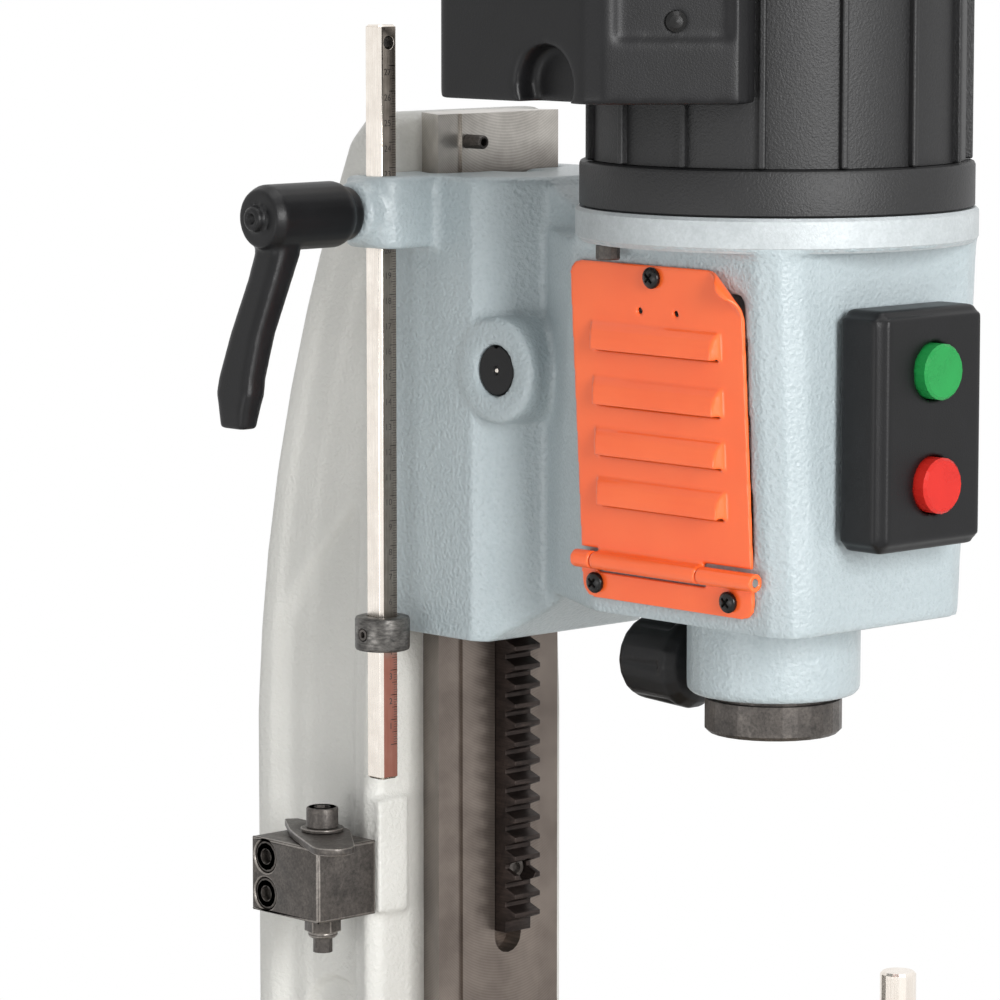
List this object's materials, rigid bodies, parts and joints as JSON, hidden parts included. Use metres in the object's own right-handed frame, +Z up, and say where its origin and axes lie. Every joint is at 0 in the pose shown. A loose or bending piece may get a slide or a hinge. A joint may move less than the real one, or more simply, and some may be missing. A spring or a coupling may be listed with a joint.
{
  "type": "bench mortiser",
  "caption": "Bench hollow-chisel mortiser: a dovetail column with a rack, a motor-driven head on it, a feed lever, a depth rod with a swing stop, a table, a fence and a hold-down.",
  "frame": {"origin": "centre of the base's underside, which is the middle of the whole part's box", "axes": "+X is to the operator's right, +Y points from the operator to the column, +Z is up"},
  "size_m": [0.34, 0.39, 0.8043],
  "materials": {
    "column_paint": "pale warm grey, satin, finely textured",
    "head_paint": "blue-grey hammer-textured paint",
    "door_paint": "orange satin paint",
    "black_plastic": "black moulded plastic, satin",
    "motor_paint": "black textured paint",
    "black_oxide": "black oxide on steel",
    "bright_steel": "bright drawn steel",
    "machined_iron": "ground and milled iron",
    "board": "pressed fibre board",
    "green_plastic": "green plastic",
    "red_plastic": "red plastic"
  },
  "bodies": {
    "frame": {"base_casting": "column_paint", "table_board": "board", "column_casting": "column_paint", "column_bolt_left": "black_oxide", "column_bolt_right": "black_oxide", "rack": "machined_iron", "rack_screw_lower": "black_oxide", "rack_screw_upper": "black_oxide", "stop_pin": "bright_steel", "stop_block": "black_oxide", "stop_block_screw_upper": "black_oxide", "stop_block_screw_lower": "black_oxide", "stop_pivot_bolt": "black_oxide", "stop_washer": "black_oxide", "stop_nut": "black_oxide", "gas_spring_cylinder": "black_oxide"},
    "head": {"head_casting": "head_paint", "gib_strip": "machined_iron", "shaft_end_cap": "black_plastic", "chisel_bushing": "black_oxide", "motor_end_bell": "motor_paint", "motor_body": "motor_paint", "fan_cover": "motor_paint", "junction_box": "black_plastic", "junction_box_screw": "black_oxide", "gas_spring_rod": "bright_steel", "switch_box": "black_plastic", "motor_bolt_left": "black_oxide", "motor_bolt_right": "black_oxide", "door_leaf_left": "door_paint", "door_pin_left": "bright_steel", "door_leaf_right": "door_paint", "door_pin_right": "bright_steel", "leaf_screw_left_rear": "black_oxide", "leaf_screw_left_front": "black_oxide"},
    "feed": {"pinion_shaft": "machined_iron", "feed_hub": "motor_paint", "feed_lever": "bright_steel", "feed_grip": "black_plastic"},
    "spindle": {"spindle_chuck": "machined_iron"},
    "chisel_knob": {"chisel_knob": "black_plastic"},
    "door_left": {"door_left": "door_paint", "door_screw_left": "black_oxide"},
    "door_right": {"door_right": "door_paint"},
    "start_button": {"start_button": "green_plastic"},
    "stop_button": {"stop_button": "red_plastic"},
    "clamp_lever": {"clamp_lever": "black_plastic"},
    "depth_rod": {"depth_rod": "bright_steel"},
    "collar": {"depth_collar": "black_oxide", "collar_screw": "black_oxide"},
    "stop_plate": {"stop_plate": "black_oxide"},
    "fence": {"fence": "head_paint", "fence_rod_left": "bright_steel", "fence_rod_right": "bright_steel", "hold_down_post": "bright_steel"},
    "fence_knob": {"fence_lock_knob": "black_plastic"},
    "hold_down": {"hold_down_fork": "motor_paint", "hold_down_knob": "black_plastic"}
  },
  "joints": [
    {"name": "head_slide", "type": "slide", "parent": "frame", "child": "head", "axis": [0, 0, 1], "range_m": [-0.165, 0.0065]},
    {"name": "feed_turn", "type": "hinge", "parent": "head", "child": "feed", "pos_m": [0, 0.0132, 0.496], "axis": [1, 0, 0], "range_deg": [-12, 292]},
    {"name": "spindle_turn", "type": "hinge", "parent": "head", "child": "spindle", "pos_m": [0, -0.094, 0.46], "axis": [0, 0, 1], "continuous": true},
    {"name": "chisel_knob_turn", "type": "hinge", "parent": "head", "child": "chisel_knob", "pos_m": [0, -0.0605, 0.383], "axis": [0, 1, 0], "range_deg": [-180, 180]},
    {"name": "door_left_hinge", "type": "hinge", "parent": "head", "child": "door_left", "pos_m": [-0.05454, -0.0795, 0.42879], "axis": [0, -1, 0], "range_deg": [0, 155]},
    {"name": "door_right_hinge", "type": "hinge", "parent": "head", "child": "door_right", "pos_m": [0.05454, -0.0795, 0.42879], "axis": [0, 1, 0], "range_deg": [0, 155]},
    {"name": "start_push", "type": "slide", "parent": "head", "child": "start_button", "axis": [0, 1, 0], "range_m": [0, 0.003], "stiffness_N_per_m": 400},
    {"name": "stop_push", "type": "slide", "parent": "head", "child": "stop_button", "axis": [0, 1, 0], "range_m": [0, 0.003], "stiffness_N_per_m": 400},
    {"name": "clamp_turn", "type": "hinge", "parent": "head", "child": "clamp_lever", "pos_m": [-0.0755, 0.062, 0.55675], "axis": [1, 0, 0], "range_deg": [-40, 60]},
    {"name": "depth_rod_slide", "type": "slide", "parent": "head", "child": "depth_rod", "axis": [0, 0, 1], "range_m": [-0.018, 0.145]},
    {"name": "collar_slide", "type": "slide", "parent": "depth_rod", "child": "collar", "axis": [0, 0, 1], "range_m": [-0.05, 0]},
    {"name": "stop_plate_swing", "type": "hinge", "parent": "frame", "child": "stop_plate", "pos_m": [-0.069, 0.091, 0.3095], "axis": [0, 0, 1], "range_deg": [-5, 46.5]},
    {"name": "fence_slide", "type": "slide", "parent": "frame", "child": "fence", "axis": [0, 1, 0], "range_m": [-0.03, 0.02]},
    {"name": "fence_knob_turn", "type": "hinge", "parent": "frame", "child": "fence_knob", "pos_m": [0.108, 0.16, 0.1173], "axis": [0, 0, 1], "range_deg": [-180, 180]},
    {"name": "hold_down_slide", "type": "slide", "parent": "fence", "child": "hold_down", "axis": [0, 0, 1], "range_m": [-0.01, 0.055]}
  ],
  "couplings": [
    {"joint": "feed_turn", "follows": "head_slide", "rad_per_m": -30.769}
  ]
}
